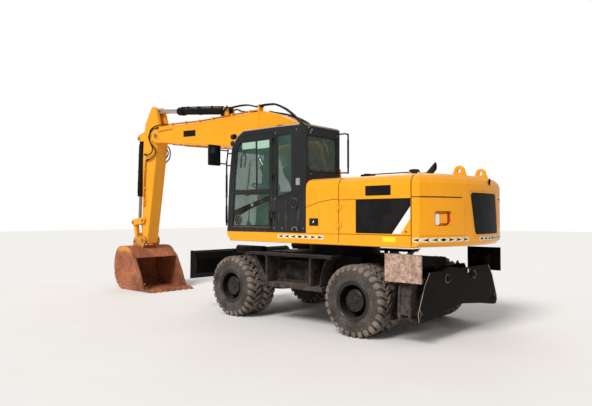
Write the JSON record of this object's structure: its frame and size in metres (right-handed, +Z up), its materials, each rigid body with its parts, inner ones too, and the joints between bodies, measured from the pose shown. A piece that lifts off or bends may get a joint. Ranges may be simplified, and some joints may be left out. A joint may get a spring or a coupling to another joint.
{
  "type": "wheeled excavator",
  "caption": "Wheeled excavator with a slewing upper structure, cab, one-piece boom, stick and bucket, front dozer blade and rear outriggers.",
  "frame": {"origin": "on the ground, at the middle of the outline in plan; the slew axis stands 2.030 m behind it", "axes": "+X points forward, towards the dozer blade and the bucket, +Y to the machine's left, where the cab stands, +Z up"},
  "size_m": [9.07, 3.28, 4.33],
  "materials": {
    "chassis": "dusty satin black",
    "front_axle": "dusty satin black",
    "rear_axle": "dusty satin black",
    "outrigger_frame": "dusty satin black",
    "side_steps": "dusty satin black",
    "knuckle_left": "dusty satin black",
    "knuckle_right": "dusty satin black",
    "track_rod": "worn",
    "tyres_front_left": "dusty",
    "rim_front_left": "dusty black",
    "tyres_front_right": "dusty",
    "rim_front_right": "dusty black",
    "tyres_rear_left": "dusty",
    "rim_rear_left": "dusty black",
    "tyres_rear_right": "dusty",
    "rim_rear_right": "dusty black",
    "leg_left": "dusty satin black",
    "leg_right": "dusty satin black",
    "pad_left": "rusty",
    "pad_right": "dusty satin black",
    "leg_barrel_left": "dusty satin black",
    "leg_barrel_right": "dusty satin black",
    "leg_rod_left": "polished",
    "leg_rod_right": "polished",
    "blade_arms": "dusty satin black",
    "blade": "dusty satin black",
    "blade_links": "dusty satin black",
    "blade_barrel": "dusty satin black",
    "blade_rod": "polished",
    "revolving_frame": "dusty satin black",
    "side_sills": "weathered gloss yellow-orange",
    "counterweight": "weathered gloss yellow-orange",
    "left_cowl": "weathered gloss yellow-orange",
    "left_door": "weathered gloss yellow-orange",
    "right_cowl": "weathered gloss yellow-orange",
    "right_door": "weathered gloss yellow-orange",
    "engine_hood": "weathered gloss yellow-orange",
    "engine_block": "matt",
    "exhaust": "rusty",
    "cab_shell": "dusty satin black",
    "cab_glass": "tinted",
    "cab_door": "dusty satin black",
    "door_glass": "tinted",
    "seat": "woven",
    "cab_console": "matt",
    "cab_rails": "dusty satin black",
    "deck_rails": "dusty satin black",
    "boom": "weathered gloss yellow-orange",
    "boom_barrels": "dusty satin black",
    "boom_rods": "polished",
    "stick": "weathered gloss yellow-orange",
    "stick_barrel": "dusty satin black",
    "stick_rod": "polished",
    "bucket": "rusty",
    "bucket_barrel": "dusty satin black",
    "bucket_rod": "polished",
    "rocker": "weathered gloss yellow-orange",
    "power_link": "weathered gloss yellow-orange"
  },
  "bodies": {
    "undercarriage": {"chassis": "chassis", "front_axle": "front_axle", "rear_axle": "rear_axle", "outrigger_frame": "outrigger_frame", "side_steps": "side_steps"},
    "knuckle_left": {"knuckle_left": "knuckle_left"},
    "knuckle_right": {"knuckle_right": "knuckle_right"},
    "track_rod": {"track_rod": "track_rod"},
    "wheel_front_left": {"tyres_front_left": "tyres_front_left", "rim_front_left": "rim_front_left"},
    "wheel_front_right": {"tyres_front_right": "tyres_front_right", "rim_front_right": "rim_front_right"},
    "wheel_rear_left": {"tyres_rear_left": "tyres_rear_left", "rim_rear_left": "rim_rear_left"},
    "wheel_rear_right": {"tyres_rear_right": "tyres_rear_right", "rim_rear_right": "rim_rear_right"},
    "leg_left": {"leg_left": "leg_left"},
    "leg_right": {"leg_right": "leg_right"},
    "pad_left": {"pad_left": "pad_left"},
    "pad_right": {"pad_right": "pad_right"},
    "leg_barrel_left": {"leg_barrel_left": "leg_barrel_left"},
    "leg_barrel_right": {"leg_barrel_right": "leg_barrel_right"},
    "leg_rod_left": {"leg_rod_left": "leg_rod_left"},
    "leg_rod_right": {"leg_rod_right": "leg_rod_right"},
    "blade_arms": {"blade_arms": "blade_arms"},
    "blade": {"blade": "blade"},
    "blade_links": {"blade_links": "blade_links"},
    "blade_barrel": {"blade_barrel": "blade_barrel"},
    "blade_rod": {"blade_rod": "blade_rod"},
    "upper": {"revolving_frame": "revolving_frame", "side_sills": "side_sills", "counterweight": "counterweight", "left_cowl": "left_cowl", "right_cowl": "right_cowl", "engine_block": "engine_block", "cab_shell": "cab_shell", "cab_glass": "cab_glass", "seat": "seat", "cab_console": "cab_console", "cab_rails": "cab_rails", "deck_rails": "deck_rails"},
    "engine_hood": {"engine_hood": "engine_hood", "exhaust": "exhaust"},
    "left_door": {"left_door": "left_door"},
    "right_door": {"right_door": "right_door"},
    "cab_door": {"cab_door": "cab_door", "door_glass": "door_glass"},
    "boom": {"boom": "boom"},
    "boom_barrels": {"boom_barrels": "boom_barrels"},
    "boom_rods": {"boom_rods": "boom_rods"},
    "stick": {"stick": "stick"},
    "stick_barrel": {"stick_barrel": "stick_barrel"},
    "stick_rod": {"stick_rod": "stick_rod"},
    "bucket": {"bucket": "bucket"},
    "bucket_barrel": {"bucket_barrel": "bucket_barrel"},
    "bucket_rod": {"bucket_rod": "bucket_rod"},
    "rocker": {"rocker": "rocker"},
    "power_link": {"power_link": "power_link"}
  },
  "joints": [
    {"name": "slew", "type": "hinge", "parent": "undercarriage", "child": "upper", "pos_m": [-2.03, 0, 1.28], "axis": [0, 0, 1], "continuous": true},
    {"name": "steer", "type": "hinge", "parent": "undercarriage", "child": "knuckle_left", "pos_m": [-0.53, 0.66, 0.516], "axis": [0, 0, 1], "range_deg": [-30, 30]},
    {"name": "steer_right", "type": "hinge", "parent": "undercarriage", "child": "knuckle_right", "pos_m": [-0.53, -0.66, 0.516], "axis": [0, 0, 1], "range_deg": [-30.5, 30.5]},
    {"name": "track_rod_slide", "type": "slide", "parent": "undercarriage", "child": "track_rod", "axis": [0, 1, 0], "range_m": [-0.14, 0.14]},
    {"name": "wheel_front_left_spin", "type": "hinge", "parent": "knuckle_left", "child": "wheel_front_left", "pos_m": [-0.53, 0.9, 0.516], "axis": [0, 1, 0], "continuous": true},
    {"name": "wheel_rear_left_spin", "type": "hinge", "parent": "undercarriage", "child": "wheel_rear_left", "pos_m": [-3.13, 0.9, 0.516], "axis": [0, 1, 0], "continuous": true},
    {"name": "leg_left_swing", "type": "hinge", "parent": "undercarriage", "child": "leg_left", "pos_m": [-3.945, 1.15, 0.4], "axis": [1, 0, 0], "range_deg": [-120, 0]},
    {"name": "pad_left_tilt", "type": "hinge", "parent": "leg_left", "child": "pad_left", "pos_m": [-3.945, 1.1, 1.03], "axis": [1, 0, 0], "range_deg": [0, 32]},
    {"name": "leg_barrel_left_swing", "type": "hinge", "parent": "undercarriage", "child": "leg_barrel_left", "pos_m": [-3.945, 0.36, 0.85], "axis": [1, 0, 0], "range_deg": [-11.77, 0.5]},
    {"name": "leg_rod_left_slide", "type": "slide", "parent": "leg_barrel_left", "child": "leg_rod_left", "axis": [0, 0.9832, -0.1826], "range_m": [-0.01, 0.5791]},
    {"name": "wheel_front_right_spin", "type": "hinge", "parent": "knuckle_right", "child": "wheel_front_right", "pos_m": [-0.53, -0.9, 0.516], "axis": [0, 1, 0], "continuous": true},
    {"name": "wheel_rear_right_spin", "type": "hinge", "parent": "undercarriage", "child": "wheel_rear_right", "pos_m": [-3.13, -0.9, 0.516], "axis": [0, 1, 0], "continuous": true},
    {"name": "leg_right_swing", "type": "hinge", "parent": "undercarriage", "child": "leg_right", "pos_m": [-3.945, -1.15, 0.4], "axis": [-1, 0, 0], "range_deg": [-120, 0]},
    {"name": "pad_right_tilt", "type": "hinge", "parent": "leg_right", "child": "pad_right", "pos_m": [-3.945, -1.1, 1.03], "axis": [-1, 0, 0], "range_deg": [0, 32]},
    {"name": "leg_barrel_right_swing", "type": "hinge", "parent": "undercarriage", "child": "leg_barrel_right", "pos_m": [-3.945, -0.36, 0.85], "axis": [-1, 0, 0], "range_deg": [-11.77, 0.5]},
    {"name": "leg_rod_right_slide", "type": "slide", "parent": "leg_barrel_right", "child": "leg_rod_right", "axis": [0, -0.9832, -0.1826], "range_m": [-0.01, 0.5791]},
    {"name": "blade_lift", "type": "hinge", "parent": "undercarriage", "child": "blade_arms", "pos_m": [-0.18, 0, 0.42], "axis": [0, -1, 0], "range_deg": [-66, 0]},
    {"name": "blade_level", "type": "hinge", "parent": "blade_arms", "child": "blade", "pos_m": [0.3232, 0, 0.74678], "axis": [0, -1, 0], "range_deg": [-0.5, 66.5]},
    {"name": "blade_link_swing", "type": "hinge", "parent": "undercarriage", "child": "blade_links", "pos_m": [-0.18, 0, 0.72], "axis": [0, -1, 0], "range_deg": [-66.5, 0.5]},
    {"name": "blade_barrel_swing", "type": "hinge", "parent": "undercarriage", "child": "blade_barrel", "pos_m": [-0.53, 0, 0.98], "axis": [0, -1, 0], "range_deg": [-25.09, 0.5]},
    {"name": "blade_rod_slide", "type": "slide", "parent": "blade_barrel", "child": "blade_rod", "axis": [0.9216, 0, -0.3882], "range_m": [-0.01, 0.3323]},
    {"name": "boom_lift", "type": "hinge", "parent": "upper", "child": "boom", "pos_m": [-1.71, 0, 1.86], "axis": [0, -1, 0], "range_deg": [-46, 38]},
    {"name": "boom_barrel_swing", "type": "hinge", "parent": "upper", "child": "boom_barrels", "pos_m": [-1.05, 0, 1.54], "axis": [0, -1, 0], "range_deg": [-49.4, 40.9]},
    {"name": "boom_rod_slide", "type": "slide", "parent": "boom_barrels", "child": "boom_rods", "axis": [0.5372, 0, 0.8435], "range_m": [-0.5199, 0.4312]},
    {"name": "stick_swing", "type": "hinge", "parent": "boom", "child": "stick", "pos_m": [3.37, 0, 3.61], "axis": [0, 1, 0], "range_deg": [-66, 40]},
    {"name": "stick_barrel_swing", "type": "hinge", "parent": "boom", "child": "stick_barrel", "pos_m": [1.02, 0, 3.93], "axis": [0, 1, 0], "range_deg": [-5.44, 3.49]},
    {"name": "stick_rod_slide", "type": "slide", "parent": "stick_barrel", "child": "stick_rod", "axis": [0.993, 0, 0.1179], "range_m": [-0.6963, 0.426]},
    {"name": "bucket_curl", "type": "hinge", "parent": "stick", "child": "bucket", "pos_m": [3.91, 0, 1.15], "axis": [0, 1, 0], "range_deg": [-70, 75]},
    {"name": "rocker_swing", "type": "hinge", "parent": "stick", "child": "rocker", "pos_m": [3.954, 0, 1.624], "axis": [0, 1, 0], "range_deg": [-58.67, 62.83]},
    {"name": "power_link_swing", "type": "hinge", "parent": "rocker", "child": "power_link", "pos_m": [4.378, 0, 1.574], "axis": [0, 1, 0], "range_deg": [-63.91, 59.69]},
    {"name": "bucket_barrel_swing", "type": "hinge", "parent": "stick", "child": "bucket_barrel", "pos_m": [4.27, 0, 3.64], "axis": [0, 1, 0], "range_deg": [-2.58, 2.73]},
    {"name": "bucket_rod_slide", "type": "slide", "parent": "bucket_barrel", "child": "bucket_rod", "axis": [0.0522, 0, -0.9986], "range_m": [-0.3746, 0.4007]},
    {"name": "cab_door_swing", "type": "hinge", "parent": "upper", "child": "cab_door", "pos_m": [-1.52, 1.267, 2.3], "axis": [0, 0, 1], "range_deg": [0, 165]},
    {"name": "left_door_swing", "type": "hinge", "parent": "upper", "child": "left_door", "pos_m": [-2.878, 1.264, 1.7], "axis": [0, 0, -1], "range_deg": [0, 85]},
    {"name": "right_door_swing", "type": "hinge", "parent": "upper", "child": "right_door", "pos_m": [-2.878, -1.264, 1.7], "axis": [0, 0, 1], "range_deg": [0, 85]},
    {"name": "engine_hood_lift", "type": "hinge", "parent": "upper", "child": "engine_hood", "pos_m": [-3.47, -1.264, 1.975], "axis": [1, 0, 0], "range_deg": [0, 60]}
  ],
  "couplings": [
    {"joint": "steer_right", "follows": "steer", "ratio": 1},
    {"joint": "track_rod_slide", "follows": "steer", "m_per_rad": -0.235},
    {"joint": "leg_barrel_left_swing", "follows": "leg_left_swing", "ratio": 0.093884},
    {"joint": "leg_rod_left_slide", "follows": "leg_left_swing", "m_per_rad": -0.27174},
    {"joint": "leg_barrel_right_swing", "follows": "leg_right_swing", "ratio": 0.093884},
    {"joint": "leg_rod_right_slide", "follows": "leg_right_swing", "m_per_rad": -0.27174},
    {"joint": "blade_level", "follows": "blade_lift", "ratio": -1},
    {"joint": "blade_link_swing", "follows": "blade_lift", "ratio": 1},
    {"joint": "blade_barrel_swing", "follows": "blade_lift", "ratio": 0.37259},
    {"joint": "blade_rod_slide", "follows": "blade_lift", "m_per_rad": -0.27982},
    {"joint": "boom_barrel_swing", "follows": "boom_lift", "ratio": 1.0631},
    {"joint": "boom_rod_slide", "follows": "boom_lift", "m_per_rad": 0.63514},
    {"joint": "stick_barrel_swing", "follows": "stick_swing", "ratio": 0.074856},
    {"joint": "stick_rod_slide", "follows": "stick_swing", "m_per_rad": 0.59583},
    {"joint": "rocker_swing", "follows": "bucket_curl", "ratio": 0.83107},
    {"joint": "power_link_swing", "follows": "bucket_curl", "ratio": -0.84553},
    {"joint": "bucket_barrel_swing", "follows": "bucket_curl", "ratio": 0.02971},
    {"joint": "bucket_rod_slide", "follows": "bucket_curl", "m_per_rad": 0.29846}
  ]
}
